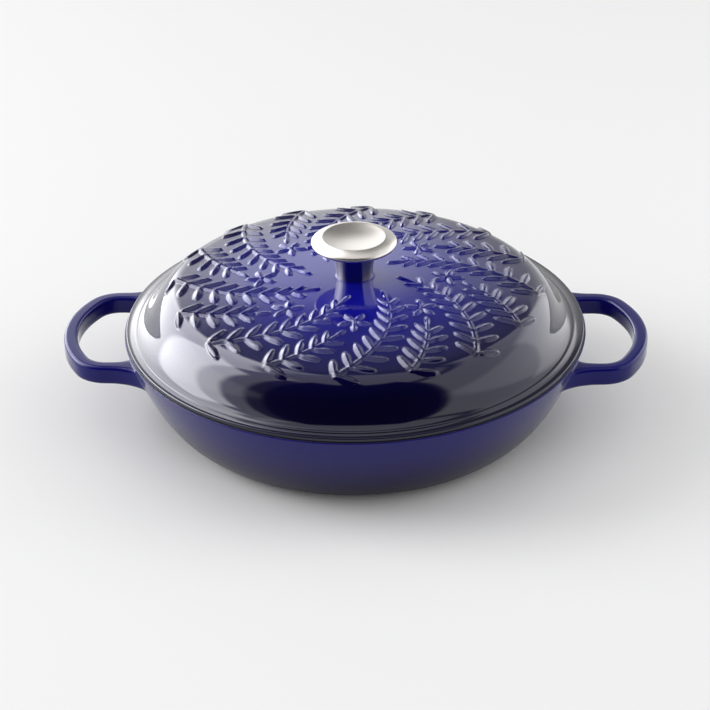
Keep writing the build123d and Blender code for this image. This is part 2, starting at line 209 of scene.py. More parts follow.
class BraiserStudio(bpy.types.PropertyGroup):
    camera_distance: length("Camera distance", "From the middle of the rim to the camera", 1553.8)
    camera_rise: angle("Camera rise", "Elevation of the camera, seen from the rim", 28.53)
    camera_turn: angle("Camera turn", "Camera's place round the object", 1.8)
    camera_pitch: angle("Camera pitch", "How far the camera looks down", 29.303)
    camera_yaw: angle("Camera yaw", "Camera's small turn to the side", 0.013)
    camera_roll: angle("Camera roll", "Camera's small roll", -0.75)
    lens: number("Lens", "Focal length in millimetres", 116.6)
    room_light: number("Room light", "Strength of the room's lower half in mirror images", 0.6)
    room_top: angle("Room top", "How high that lower half reaches", 26)
    ceiling_light: number("Ceiling light", "Strength of the room's upper half in mirror images", 0.15)
    overhead_light: number("Overhead light", "Strength of the ceiling overhead in mirror images", 0.9)
    overhead_edge: angle("Overhead edge", "How high that part of the ceiling starts", 62)
    dark_width: angle("Dark width", "How wide the dark front is", 98)
    dark_top: angle("Dark top", "How high the dark front reaches", 70)
    softness: angle("Softness", "How wide the soft edges of the room's parts are", 6)
    dark_softness: angle("Dark softness", "How wide the dark front's soft edges are", 6)
    fill_light: number("Fill light", "Strength of the even light from all round", 0.68)
    backdrop_light: number("Backdrop light", "How bright the camera sees the room behind the floor", 0.86)
    top_power: number("Top power", "Power of the lamp overhead", 4)
    left_power: number("Left power", "Power of the lamp at the left", 50)
    right_power: number("Right power", "Power of the lamp at the right", 6)


# Walls of the room that glaze and metal mirror: turn from the right hand side, width and height in
# degrees, and strength
ROOM_WALLS = {
    "left cloth": (158, 92, 66, 1.2),
    "left window": (170, 38, 45, 5.0),
    "left skylight": (145, 58, 58, 4.0),
    "right wall": (13, 88, 57, 1.1),
    "right window": (44, 30, 31, 0.9),
    "back wall": (103, 24, 30, 0.9),
}


def sizes(group):
    return getattr(bpy.context.scene, "braiser_" + group)


# Curves in the plane of radius and height


def at(radius, height):
    return Vector((radius, height))


def bezier(poles, steps):
    """Points of the Bezier curve with these poles."""
    points = []
    for step in range(steps + 1):
        level = list(poles)
        while len(level) > 1:
            level = [a.lerp(b, step / steps) for a, b in zip(level, level[1:])]
        points.append(level[0])
    return points


def corner(before, point, after, radius, steps=4):
    """Points that round the corner at a point between its two neighbours."""
    start = point + (before - point).normalized() * radius
    end = point + (after - point).normalized() * radius
    return bezier([start, point, end], steps)


def beside(poles, depths):
    """Poles of a curve that runs beside another one: each leg moves to its left by its depth."""
    legs = []
    for start, end, depth in zip(poles, poles[1:], depths):
        leg = end - start
        legs.append((start + Vector((-leg.y, leg.x)).normalized() * depth, leg))
    moved = [legs[0][0]]
    for (p, u), (q, v) in zip(legs, legs[1:]):
        moved.append(p + u * ((q - p).cross(v) / u.cross(v)))
    start, leg = legs[-1]
    moved.append(start + leg)
    return moved


# Meshes


def finished(name, bm):
    """A smooth-shaded object of a bmesh, with its faces turned outwards."""
    bmesh.ops.remove_doubles(bm, verts=bm.verts[:], dist=MERGE)
    bmesh.ops.recalc_face_normals(bm, faces=bm.faces[:])
    mesh = bpy.data.meshes.new(name)
    bm.to_mesh(mesh)
    bm.free()
    mesh.shade_smooth()
    piece = bpy.data.objects.new(name, mesh)
    bpy.context.scene.collection.objects.link(piece)
    return piece


def quarter_turn(outline, steps, ring=False):
    """A bmesh of an outline spun about Z by a quarter of a turn. A ring's outline closes on itself,
    and others start and end on the axis."""
    bm = bmesh.new()
    verts = [bm.verts.new((point.x, 0, point.y)) for point in outline]
    pairs = list(zip(verts, verts[1:]))
    if ring:
        pairs.append((verts[-1], verts[0]))
    edges = [bm.edges.new(pair) for pair in pairs]
    bmesh.ops.spin(
        bm, geom=verts + edges, cent=(0, 0, 0), axis=(0, 0, 1), angle=math.pi / 2, steps=steps
    )
    bmesh.ops.remove_doubles(bm, verts=bm.verts[:], dist=MERGE)
    return bm


def mirror_quarter(bm):
    """Mirrors a quarter to the whole round."""
    for axis in ("Y", "X"):
        bmesh.ops.mirror(
            bm, geom=bm.verts[:] + bm.edges[:] + bm.faces[:], matrix=Matrix(), merge_dist=MERGE, axis=axis
        )


def spin_outline(outline, steps, ring=False):
    """A bmesh of an outline spun about Z, with this many steps in each quarter."""
    bm = quarter_turn(outline, steps, ring)
    mirror_quarter(bm)
    return bm


def dress(piece, body, slot, material, *nodes):
    """Gives a finished piece its material and the body it rides on, and hides the CAD nodes it stands for.
    """
    piece.data.materials.append(material)
    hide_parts(*nodes)
    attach(piece, body)


# Materials


def new_group(name, inputs, outputs):
    """A shader node group with these inputs, {name: (socket type, default)}, and these outputs."""
    group = bpy.data.node_groups.new(name, "ShaderNodeTree")
    for label, (kind, default) in inputs.items():
        group.interface.new_socket(label, in_out="INPUT", socket_type=kind).default_value = default
    for label, kind in outputs.items():
        group.interface.new_socket(label, in_out="OUTPUT", socket_type=kind)
    return group, group.nodes.new("NodeGroupInput"), group.nodes.new("NodeGroupOutput")


def feed(tree, value, socket):
    """Links an output to an input socket, or sets the input to a plain value."""
    if isinstance(value, bpy.types.NodeSocket):
        tree.links.new(value, socket)
    else:
        socket.default_value = value


def add_node(tree, kind, settings=None, **links):
    """A node with its settings, whose inputs are linked from sockets or set to values by name."""
    node = tree.nodes.new(kind)
    for key, value in (settings or {}).items():
        setattr(node, key, value)
    for key, value in links.items():
        wanted = key.replace("_", " ").lower()
        feed(tree, value, next(s for s in node.inputs if s.name.lower() == wanted and s.enabled))
    return node


def math_node(tree, operation, *values):
    node = tree.nodes.new("ShaderNodeMath")
    node.operation = operation
    for socket, value in zip(node.inputs, values):
        feed(tree, value, socket)
    return node.outputs[0]


def mix_colours(tree, factor, first, second, blend="MIX"):
    node = tree.nodes.new("ShaderNodeMix")
    node.data_type = "RGBA"
    node.blend_type = blend
    colours = [socket for socket in node.inputs if socket.type == "RGBA"]
    for socket, value in zip([node.inputs[0], *colours], (factor, first, second)):
        feed(tree, value, socket)
    return next(socket for socket in node.outputs if socket.type == "RGBA")


def graded_enamel_group():
    """Enamel whose colour runs from one to another along a mask, a little uneven as sprayed glaze is."""
    group, given, out = new_group(
        "graded_enamel",
        {
            "Mask": ("NodeSocketFloat", 0.0),
            "First": ("NodeSocketColor", (0, 0, 0, 1)),
            "Second": ("NodeSocketColor", (0, 0, 0, 1)),
            "Unevenness": ("NodeSocketFloat", 0.1),
        },
        {"Color": "NodeSocketColor"},
    )
    place = add_node(group, "ShaderNodeTexCoord").outputs["Object"]
    cloud = add_node(group, "ShaderNodeTexNoise", None, Vector=place, Scale=22.0, Detail=3.0)
    centred = math_node(group, "SUBTRACT", cloud.outputs[0], 0.5)
    mask = math_node(group, "MULTIPLY_ADD", centred, given.outputs["Unevenness"], given.outputs["Mask"])
    ramp = add_node(group, "ShaderNodeMapRange", {"interpolation_type": "SMOOTHSTEP"}, Value=mask)
    mixed = mix_colours(group, ramp.outputs[0], given.outputs["First"], given.outputs["Second"])
    group.links.new(mixed, out.inputs["Color"])
    return group


def glaze_height_group():
    """The slow waves and small pits of fired enamel, as a height."""
    group, given, out = new_group(
        "glaze_height",
        {
            "Waves": ("NodeSocketFloat", 45.0),
            "Pits": ("NodeSocketFloat", 900.0),
            "Pit Share": ("NodeSocketFloat", 0.1),
        },
        {"Height": "NodeSocketFloat"},
    )
    place = add_node(group, "ShaderNodeTexCoord").outputs["Object"]
    noise = "ShaderNodeTexNoise"
    waves = add_node(group, noise, None, Vector=place, Scale=given.outputs["Waves"], Detail=1.0)
    pits = add_node(group, noise, None, Vector=place, Scale=given.outputs["Pits"], Detail=2.0)
    height = math_node(
        group, "MULTIPLY_ADD", pits.outputs[0], given.outputs["Pit Share"], waves.outputs[0]
    )
    group.links.new(height, out.inputs["Height"])
    return group


def turned_brushing_group():
    """Fine lines that run round Z, as a height and as a mask for colour and roughness."""
    group, given, out = new_group(
        "turned_brushing",
        {"Lines": ("NodeSocketFloat", 2200.0), "Around": ("NodeSocketFloat", 3.0)},
        {"Height": "NodeSocketFloat", "Mask": "NodeSocketFloat"},
    )
    place = add_node(group, "ShaderNodeTexCoord").outputs["Object"]
    parts = add_node(group, "ShaderNodeSeparateXYZ", None, Vector=place)
    x, y, z = parts.outputs
    radius = radius_of(group)
    turn = math_node(group, "ARCTAN2", y, x)
    lines = math_node(group, "MULTIPLY", radius, given.outputs["Lines"])
    levels = math_node(group, "MULTIPLY", z, given.outputs["Lines"])
    around = math_node(group, "MULTIPLY", math_node(group, "SINE", turn), given.outputs["Around"])
    spread = add_node(group, "ShaderNodeCombineXYZ", None, X=lines, Y=around, Z=levels)
    brushed = add_node(
        group, "ShaderNodeTexNoise", None, Vector=spread.outputs[0], Scale=1.0, Detail=4.0, Roughness=0.7
    )
    group.links.new(brushed.outputs[0], out.inputs["Height"])
    group.links.new(brushed.outputs[0], out.inputs["Mask"])
    return group


def placed(tree, group, **links):
    """A node that places a group in a material."""
    return add_node(tree, "ShaderNodeGroup", {"node_tree": bpy.data.node_groups[group]}, **links)


def new_material(name, **values):
    """A material with a Principled shader whose plain values are set on its own sockets."""
    material = bpy.data.materials.new(name)
    material.use_nodes = True
    shader = material.node_tree.nodes["Principled BSDF"]
    for key, value in values.items():
        shader.inputs[key.replace("_", " ")].default_value = value
    return material, material.node_tree, shader


def radius_of(tree):
    """Distance from Z, in metres."""
    place = add_node(tree, "ShaderNodeTexCoord").outputs["Object"]
    flat = add_node(tree, "ShaderNodeVectorMath", {"operation": "MULTIPLY"})
    tree.links.new(place, flat.inputs[0])
    flat.inputs[1].default_value = (1, 1, 0)
    size = add_node(tree, "ShaderNodeVectorMath", {"operation": "LENGTH"})
    tree.links.new(flat.outputs[0], size.inputs[0])
    return size.outputs["Value"]


def share_between(tree, value, span, **more):
    """How far a value has come from one end of a span to the other, from 0 to 1."""
    start, end = span
    node = add_node(
        tree, "ShaderNodeMapRange", None, Value=value, From_Min=start, From_Max=end, **more
    )
    return node.outputs[0]


def add_graded_colour(tree, shader, mask, first, second):
    colours = placed(
        tree, "graded_enamel", Mask=mask, First=(*first, 1), Second=(*second, 1), Unevenness=0.12
    )
    tree.links.new(colours.outputs[0], shader.inputs["Base Color"])


def add_glaze_bump(tree, shader, waves, distance, pit_share=0.1):
    height = placed(tree, "glaze_height", Waves=waves, Pit_Share=pit_share)
    bump = add_node(tree, "ShaderNodeBump", None, Height=height.outputs[0], Strength=1.0, Distance=distance)
    tree.links.new(bump.outputs[0], shader.inputs["Normal"])
    tree.links.new(bump.outputs[0], shader.inputs["Coat Normal"])


# A clear glaze over a blue one that scatters light softly
ENAMEL = {
    "Roughness": 0.4,
    "IOR": 1.22,
    "Specular_Tint": (0.03, 0.05, 1, 1),
    "Coat_Weight": 1.0,
    "Coat_Roughness": 0.04,
    "Coat_IOR": 1.5,
}
PAN_ENAMEL = {**ENAMEL, "IOR": 1.15, "Coat_IOR": 1.31}

# Where the blue starts and ends to darken, as a radius on the lid and a height on the pan, and the
# heights between which the pan's coat thickens from its share at the foot
LID_SHADE = (20 * MM, 142 * MM)
PAN_SHADE = (62 * MM, 4 * MM)
PAN_GLOSS = (8 * MM, 45 * MM)
FOOT_GLOSS_SHARE = 0.4


def lid_enamel():
    """Blue enamel that darkens from the knob to the flange."""
    tint = sizes("colours")
    material, tree, shader = new_material("blue_enamel_lid", **ENAMEL)
    mask = share_between(tree, radius_of(tree), LID_SHADE)
    add_graded_colour(tree, shader, mask, tint.lid_middle, tint.lid_edge)
    add_glaze_bump(tree, shader, 40.0, 0.02 * MM)
    return material


def pan_enamel():
    """Blue enamel that darkens from the rim and the handles down to the foot."""
    tint = sizes("colours")
    material, tree, shader = new_material("blue_enamel_pan", **PAN_ENAMEL)
    place = add_node(tree, "ShaderNodeTexCoord").outputs["Object"]
    height = add_node(tree, "ShaderNodeSeparateXYZ", None, Vector=place).outputs[2]
    mask = share_between(tree, height, PAN_SHADE)
    add_graded_colour(tree, shader, mask, tint.pan_top, tint.pan_foot)
    gloss = share_between(tree, height, PAN_GLOSS, To_Min=FOOT_GLOSS_SHARE)
    tree.links.new(gloss, shader.inputs["Coat Weight"])
    add_glaze_bump(tree, shader, 40.0, 0.03 * MM)
    return material


def lining_enamel(name):
    """Pale sand-coloured enamel with faint clouds."""
    tint = sizes("colours").lining
    material, tree, shader = new_material(name, Roughness=0.12, IOR=1.5)
    darker = tuple(0.9 * part for part in tint)
    place = add_node(tree, "ShaderNodeTexCoord").outputs["Object"]
    cloud = add_node(tree, "ShaderNodeTexNoise", None, Vector=place, Scale=16.0, Detail=4.0)
    mixed = mix_colours(tree, cloud.outputs[0], (*tint, 1), (*darker, 1))
    tree.links.new(mixed, shader.inputs["Base Color"])
    add_glaze_bump(tree, shader, 45.0, 0.03 * MM)
    return material


def rim_enamel(name):
    """Dull black enamel with fine grit."""
    tint = sizes("colours").rim
    material, tree, shader = new_material(name, Roughness=0.4)
    lighter = tuple(2 * part for part in tint)
    place = add_node(tree, "ShaderNodeTexCoord").outputs["Object"]
    grit = add_node(tree, "ShaderNodeTexNoise", None, Vector=place, Scale=1500.0, Detail=2.0)
    mixed = mix_colours(tree, grit.outputs[0], (*tint, 1), (*lighter, 1))
    tree.links.new(mixed, shader.inputs["Base Color"])
    add_glaze_bump(tree, shader, 60.0, 0.03 * MM, 0.6)
    return material


def brushed_steel(name, tint, roughness, lines, distance):
    """Steel with fine turned lines, which also spread its roughness."""
    material, tree, shader = new_material(name, Metallic=1.0)
    brushing = placed(tree, "turned_brushing", Lines=lines)
    darker = tuple(0.86 * part for part in tint)
    mixed = mix_colours(tree, brushing.outputs["Mask"], (*darker, 1), (*tint, 1))
    tree.links.new(mixed, shader.inputs["Base Color"])
    rough = add_node(
        tree,
        "ShaderNodeMapRange",
        None,
        Value=brushing.outputs["Mask"],
        To_Min=roughness * 0.8,
        To_Max=roughness * 1.2,
    )
    tree.links.new(rough.outputs[0], shader.inputs["Roughness"])
    height = brushing.outputs["Height"]
    bump = add_node(tree, "ShaderNodeBump", None, Height=height, Strength=1.0, Distance=distance)
    tree.links.new(bump.outputs[0], shader.inputs["Normal"])
    return material


def add_groups():
    graded_enamel_group()
    glaze_height_group()
    turned_brushing_group()


# Pan


def wall_poles():
    pan = sizes("pan")
    base = pan.rim_radius - pan.wall_spread
    height = RIM_HEIGHT
    return [
        at(base, 0),
        at(base + pan.base_turn, 0),
        at(
            pan.rim_radius - pan.rim_run * math.sin(pan.rim_lean),
            height - pan.rim_run * math.cos(pan.rim_lean),
        ),
        at(pan.rim_radius, height),
    ]


def wall_radius(height):
    """Radius of the pan's outer wall at a height."""
    points = bezier(wall_poles(), 60)
    return float(np.interp(height, [p.y for p in points], [p.x for p in points]))


def inside_poles(coat):
    """Poles of the pan's inside, less a coat of this thickness."""
    pan = sizes("pan")
    return beside(wall_poles(), [pan.floor + coat, pan.wall + coat, pan.wall + coat])


HANDLE_ROWS = 3
WALL_STEPS = (0, 0.1, 0.2, 0.3, 0.4, 0.5, 0.6, 0.68, 0.745)
INSIDE_STEPS = 9
COLUMNS = 24
ROOT_COLUMNS = (4, 5, 6, 7)


def handle_heights():
    """Heights of the rows of faces that a handle grows from, from low to high."""
    handle = sizes("handle")
    high = RIM_HEIGHT - handle.drop
    low = high - handle.height
    return [low + handle.height * row / HANDLE_ROWS for row in range(HANDLE_ROWS + 1)]


def pan_cage_outline():
    """Control points of the pan's section, from the middle of its underside to that of its floor."""
    pan = sizes("pan")
    base = pan.rim_radius - pan.wall_spread
    foot_inner = base - pan.foot_width
    rim, edge = RIM_HEIGHT, pan.rim_round
    outline = [
        at(0, pan.foot_depth),
        at(foot_inner / 2, pan.foot_depth),
        at(foot_inner - 3 * pan.foot_depth, pan.foot_depth),
        at(foot_inner - pan.foot_depth, pan.foot_depth),
        at(foot_inner, 0),
        at(foot_inner + 2 * pan.foot_depth, 0),
    ]
    poles = wall_poles()
    for step in WALL_STEPS:
        level = poles
        while len(level) > 1:
            level = [a.lerp(b, step) for a, b in zip(level, level[1:])]
        outline.append(level[0])
    rows = handle_heights()
    heights = [rows[0] - 1.6 * MM, *rows, rows[-1] + 1.6 * MM, rim - edge]
    outline += [at(wall_radius(height), height) for height in heights]
    inside = bezier(inside_poles(0), INSIDE_STEPS)
    inner_rim = inside[-1].x
    top = rim - 0.1 * MM
    outline += [
        at(pan.rim_radius, top),
        at(pan.rim_radius - edge, top),
        at(inner_rim + edge, top),
        at(inner_rim, top),
    ]
    outline.append(at(inner_rim - edge * math.tan(pan.rim_lean), rim - edge))
    outline += inside[-2::-1]
    outline += [at(inside[0].x / 2, inside[0].y), at(0, inside[0].y)]
    return outline


def cage_radius(radius, step):
    """Radius of control points a step apart whose smooth surface has this radius."""
    return radius / (1 - (1 - math.cos(step)) / 3)


def arc_point(centre, radius, turn):
    return centre + radius * Vector((math.cos(turn), math.sin(turn)))


def arc_reaching(centre, radius, start, end, distance):
    """The angle, from start to end on an arc, at which it is this far from Z."""
    turns = np.linspace(start, end, 200)
    reach = [arc_point(centre, radius, turn).length for turn in turns]
    return float(np.interp(distance, reach, turns))


class HandlePlan:
    """A handle's plan: fillets at its root, a straight arm, a corner and half of its end."""

    def __init__(self):
        handle, pan = sizes("handle"), sizes("pan")
        self.half = handle.span / 2
        self.inner_half = self.half - handle.bar
        low = handle_heights()[0]
        lean = math.tan(pan.rim_lean)
        root = pan.rim_radius - (RIM_HEIGHT - low) * lean - handle.bury
        self.outer = (self.root_centre(root, self.half, handle.root_flare), handle.root_flare)
        self.inner = (self.root_centre(root, self.inner_half, -handle.hole_round), handle.hole_round)
        self.tip_centre = Vector((pan.rim_radius + handle.reach - handle.tip_radius, 0))
        across = self.half - handle.corner_radius
        along = math.sqrt((handle.tip_radius - handle.corner_radius) ** 2 - across ** 2)
        self.corner_centre = self.tip_centre + Vector((along, across))
        self.turn = math.atan2(across, along)

    @staticmethod
    def root_centre(root, half, radius):
        """Centre of a fillet between an arm at half and the wall. Inside the hole its radius is
        negative."""
        across = half + radius
        return Vector((math.sqrt((root + abs(radius)) ** 2 - across ** 2), across))

    def root_points(self, height, advance):
        """Outer and inner point of the root at a height, from the wall, 0, to the straight arm, 1."""
        wall = wall_radius(height)
        points = []
        for (centre, radius), end in ((self.outer, 1.5 * math.pi), (self.inner, 0.5 * math.pi)):
            start = math.pi + math.atan2(centre.y, centre.x)
            first = arc_reaching(centre, radius, start, end, wall)
            points.append(arc_point(centre, radius, first + (end - first) * advance))
        return points

    def bend_points(self, part, advance):
        """Outer and inner point along the corner or along the end, from 0 to 1."""
        handle = sizes("handle")
        if part == "corner":
            centre, radius, start, end = self.corner_centre, handle.corner_radius, math.pi / 2, self.turn
            steps = CORNER_STEPS
        else:
            centre, radius, start, end = self.tip_centre, handle.tip_radius, self.turn, 0
            steps = TIP_STEPS
        step = (start - end) / steps
        turn = start + (end - start) * advance
        return [arc_point(centre, cage_radius(r, step), turn) for r in (radius, radius - handle.bar)]


ROOT_ADVANCES = (0.1, 0.3, 0.6, 0.9)
CORNER_STEPS = 4
TIP_STEPS = 3


def handle_stations():
    """Functions of height that give the outer and the inner point of each section of a handle."""
    plan = HandlePlan()
    stations = [lambda height, a=advance: plan.root_points(height, a) for advance in ROOT_ADVANCES]
    for step in range(CORNER_STEPS + 1):
        stations.append(lambda height, a=step / CORNER_STEPS: plan.bend_points("corner", a))
    for step in range(1, TIP_STEPS + 1):
        stations.append(lambda height, a=step / TIP_STEPS: plan.bend_points("tip", a))
    return plan, stations


def grow_handle(bm):
    """Grows half of a handle out of the wall of the pan's first quarter."""
    rows = handle_heights()
    column_of = bm.verts.layers.int.new("handle_column")
    row_of = bm.verts.layers.int.new("handle_row")
    step = math.pi / 2 / COLUMNS
    for vert in bm.verts:
        radius = math.hypot(vert.co.x, vert.co.y)
        if radius < wall_radius(vert.co.z) - MM:
            continue
        column = round(math.atan2(vert.co.y, vert.co.x) / step)
        near = [index for index, height in enumerate(rows) if abs(height - vert.co.z) < MERGE]
        if near and column in ROOT_COLUMNS:
            vert[column_of] = ROOT_COLUMNS.index(column) + 1
            vert[row_of] = near[0] + 1
    plan, stations = handle_stations()
    last = len(ROOT_COLUMNS) - 1
    side = sizes("handle").side_share

    def place_verts(verts, station, shares):
        for vert in verts:
            height = rows[vert[row_of] - 1]
            outer, inner = station(height)
            spot = inner.lerp(outer, shares[vert[column_of] - 1])
            vert.co = (spot.x, spot.y, height)

    root = [vert for vert in bm.verts if vert[row_of]]
    for vert in root:
        height = rows[vert[row_of] - 1]
        outer, inner = plan.root_points(height, 0)
        ends = [math.atan2(point.y, point.x) for point in (inner, outer)]
        turn = ends[0] + (ends[1] - ends[0]) * (vert[column_of] - 1) / last
        radius = cage_radius(wall_radius(height), step)
        vert.co = (radius * math.cos(turn), radius * math.sin(turn), height)
    faces = [face for face in bm.faces if all(vert[row_of] for vert in face.verts)]
    even = [index / last for index in range(last + 1)]
    drawn = [0, side, 1 - side, 1]
    for index, station in enumerate(stations):
        grown = bmesh.ops.extrude_face_region(bm, geom=faces)["geom"]
        bmesh.ops.delete(bm, geom=faces, context="FACES")
        faces = [item for item in grown if isinstance(item, bmesh.types.BMFace)]
        verts = [item for item in grown if isinstance(item, bmesh.types.BMVert)]
        blend = min(1, index / len(ROOT_ADVANCES))
        shares = [a + (b - a) * blend for a, b in zip(even, drawn)]
        place_verts(verts, station, shares)
    bmesh.ops.delete(bm, geom=faces, context="FACES")
    loose = [vert for vert in bm.verts if not vert.link_faces]
    bmesh.ops.delete(bm, geom=loose, context="VERTS")


def pan_body():
    bm = quarter_turn(pan_cage_outline(), COLUMNS)
    for vert in bm.verts:
        radius = math.hypot(vert.co.x, vert.co.y)
        if radius > MERGE:
            grown = cage_radius(radius, math.pi / 2 / COLUMNS) / radius
            vert.co.x *= grown
            vert.co.y *= grown
    grow_handle(bm)
    mirror_quarter(bm)
    piece = finished("pan_body", bm)
    smooth = piece.modifiers.new("smooth", "SUBSURF")
    smooth.levels = 2
    smooth.render_levels = 2
    return piece


def pan_lining():
    pan = sizes("pan")
    steps = 48
    under, over = bezier(inside_poles(0), steps), bezier(inside_poles(pan.lining), steps)
    limit = RIM_HEIGHT - pan.rim_round
    under = [point for point in under if point.y < limit]
    over = [point for point in over if point.y < limit]
    tip = (under[-1] + over[-1]) / 2 + at(0, pan.lining / 2)
    outline = [at(0, under[0].y), *under, tip, *reversed(over), at(0, over[0].y)]
    return finished("pan_lining", spin_outline(outline, 48))


def ring_outline(inner, outer, low, high, radius):
    corners = [at(inner, low), at(outer, low), at(outer, high), at(inner, high)]
    outline = []
    for index, point in enumerate(corners):
        outline += corner(corners[index - 1], point, corners[(index + 1) % 4], radius, 3)
    return outline


def pan_rim_band():
    pan = sizes("pan")
    inner = inside_poles(0)[-1].x + pan.rim_round
    outer = pan.rim_radius - pan.rim_round
    high = RIM_HEIGHT
    outline = ring_outline(inner, outer, high - pan.band, high, pan.band / 3)
    return finished("pan_rim_band", spin_outline(outline, 64, ring=True))


# Lid


class LidSection:
    """The lid's section above the rim's height, as lists of points that run outwards."""

    def __init__(self):
        lid, pan, knob = sizes("lid"), sizes("pan"), sizes("knob")
        self.boss_radius = knob.foot_radius + lid.boss_margin
        self.boss_foot = self.boss_radius + lid.boss_flare
        self.boss_height = lid.crown_height + lid.boss_rise
        self.radius = pan.rim_radius - lid.flange_margin
        self.flange_inner = self.radius - lid.flange_width
        side_radius = self.flange_inner - lid.side_inset
        lean = math.tan(lid.side_lean)
        reach, crown_end = side_radius - lid.crown_inset, lid.crown_height - lid.crown_drop
        self.reach = reach
        self.ball = (reach ** 2 + lid.crown_drop ** 2) / (2 * lid.crown_drop)
        side_rise = (crown_end - lid.side_height) * lid.side_rise_share
        side_top = side_radius - side_rise * lean
        run = (side_top - reach) * lid.shoulder_share
        self.shoulder = [
            at(reach, crown_end),
            at(reach + run, crown_end - run * reach / (self.ball - lid.crown_drop)),
            at(side_top, lid.side_height + side_rise),
            at(side_radius, lid.side_height),
        ]
        cove_low = lid.flange + lid.cove_step
        self.cove = [
            at(side_radius, lid.side_height),
            at(side_radius + (lid.side_height - cove_low) * lean, cove_low),
            at(self.flange_inner, cove_low),
        ]
        rim_inner = pan.rim_radius - pan.wall / math.cos(pan.rim_lean)
        lip_lean = lid.lip_depth * math.tan(pan.rim_lean)
        self.lip_radius = rim_inner - lip_lean - lid.lining - lid.lip_clearance

    def crown(self, end, depth, steps):
        """Points of the ball-shaped crown from the boss to a radius, at a depth under its surface."""
        points = []
        for step in range(steps + 1):
            radius = self.boss_foot + (end - self.boss_foot) * step / steps
            level = math.sqrt((self.ball - depth) ** 2 - radius ** 2)
            points.append(at(radius, sizes("lid").crown_height - self.ball + level))
        return points

    def top(self, crown_steps, shoulder_steps, cove_steps):
        return (
            self.crown(self.reach, 0, crown_steps)
            + bezier(self.shoulder, shoulder_steps)[1:]
            + bezier(self.cove, cove_steps)[1:]
        )

    def inside(self, coat, steps):
        """The inside of the lid from the screw's hole to the end of the lip, less a coat."""
        lid = sizes("lid")
        depth = lid.wall + coat
        shoulder = beside(self.shoulder, [-depth] * 3)
        crown = self.crown(shoulder[0].x, depth, 2 * steps)
        low = lid.flange - depth
        lip_inner = self.lip_radius - lid.lip_width - coat
        bend = shoulder[-1].x + (lip_inner - shoulder[-1].x) * lid.cove_corner_share
        points = [at(lid.hole_radius, crown[0].y), *crown, *bezier(shoulder, steps)[1:]]
        points += bezier([shoulder[-1], at(bend, low), at(lip_inner, low)], steps)[1:]
        return points + [at(lip_inner, -lid.lip_depth)]


CROWN_RINGS = 84
SHOULDER_RINGS = 32
COVE_RINGS = 8
LID_STEPS = 144


def lid_outline(section):
    lid = sizes("lid")
    top_edge = at(section.boss_radius, section.boss_height)
    outline = [at(lid.hole_radius, section.boss_height)]
    outline += corner(outline[0], top_edge, at(section.boss_radius, 0), lid.boss_edge, 2)
    top = section.top(CROWN_RINGS, SHOULDER_RINGS, COVE_RINGS)
    outline += bezier([outline[-1], at(section.boss_radius, top[0].y), top[0]], 5)[1:-1]
    outline += top
    step_foot = at(section.flange_inner + lid.cove_step / 2, lid.flange)
    outline += [outline[-1].lerp(step_foot, 0.7), step_foot]
    edge, low = at(section.radius, lid.flange), at(section.radius, 0)
    under = at(section.lip_radius, lid.band)
    outline += corner(step_foot, edge, low, lid.flange_round, 4)
    outline += corner(edge, low, at(0, 0), lid.flange_round, 3)
    outline += [at(section.radius - lid.flange_round, lid.band / 2), under]
    lip_foot = at(section.lip_radius, -lid.lip_depth)
    outline += corner(under, lip_foot, at(0, -lid.lip_depth), lid.boss_edge * 2, 2)
    outline += section.inside(0, 5)[::-1]
    return outline


class ReliefField:
    """Heights of a raised pattern over points of a plane."""

    def __init__(self, x, y):
        self.x, self.y = x, y
        self.height = np.zeros_like(x)

    def raise_form(self, chosen, off_centre, rise):
        """Raises what lies between a form's middle, 0, and its edge, 1, with soft flanks."""
        flank = np.clip((1 - off_centre) / sizes("relief").softness, 0, 1)
        height = rise * flank ** 2 * (3 - 2 * flank) * (1 - 0.15 * off_centre ** 2)
        self.height[chosen] = np.cbrt(self.height[chosen] ** 3 + height ** 3)

    def leaf(self, start, heading, size, width, rise):
        """A leaf from a point along its heading, a little higher along its middle."""
        dx, dy = self.x - start.x, self.y - start.y
        along = (dx * math.cos(heading) + dy * math.sin(heading)) / size
        across = -dx * math.sin(heading) + dy * math.cos(heading)
        chosen = np.flatnonzero((along > 0) & (along < 1) & (np.abs(across) < width / 2))
        along, across = along[chosen], across[chosen]
        half = width / 2 * (4 * along * (1 - along)) ** 0.72 * (0.9 + 0.2 * along)
        off_centre = np.clip(np.abs(across) / np.maximum(half, MERGE), 0, 1)
        self.raise_form(chosen, off_centre, rise)

    def bud(self, centre, width, rise):
        distance = np.hypot(self.x - centre.x, self.y - centre.y) / (width / 2)
        chosen = np.flatnonzero(distance < 1)
        self.raise_form(chosen, distance[chosen], rise)

    def twig(self, start, end, start_width, end_width, rise):
        """A piece of a twig with round ends, which thins from one end to the other."""
        run = end - start
        share = ((self.x - start.x) * run.x + (self.y - start.y) * run.y) / run.length_squared
        share = np.clip(share, 0, 1)
        distance = np.hypot(self.x - start.x - share * run.x, self.y - start.y - share * run.y)
        half = (start_width + (end_width - start_width) * share) / 2
        chosen = np.flatnonzero(distance < half)
        flank = (distance / half)[chosen]
        self.height[chosen] = np.maximum(self.height[chosen], rise * (1 - flank ** 2) ** 0.8)


def polar(radius, turn):
    return Vector((radius * math.cos(turn), radius * math.sin(turn)))


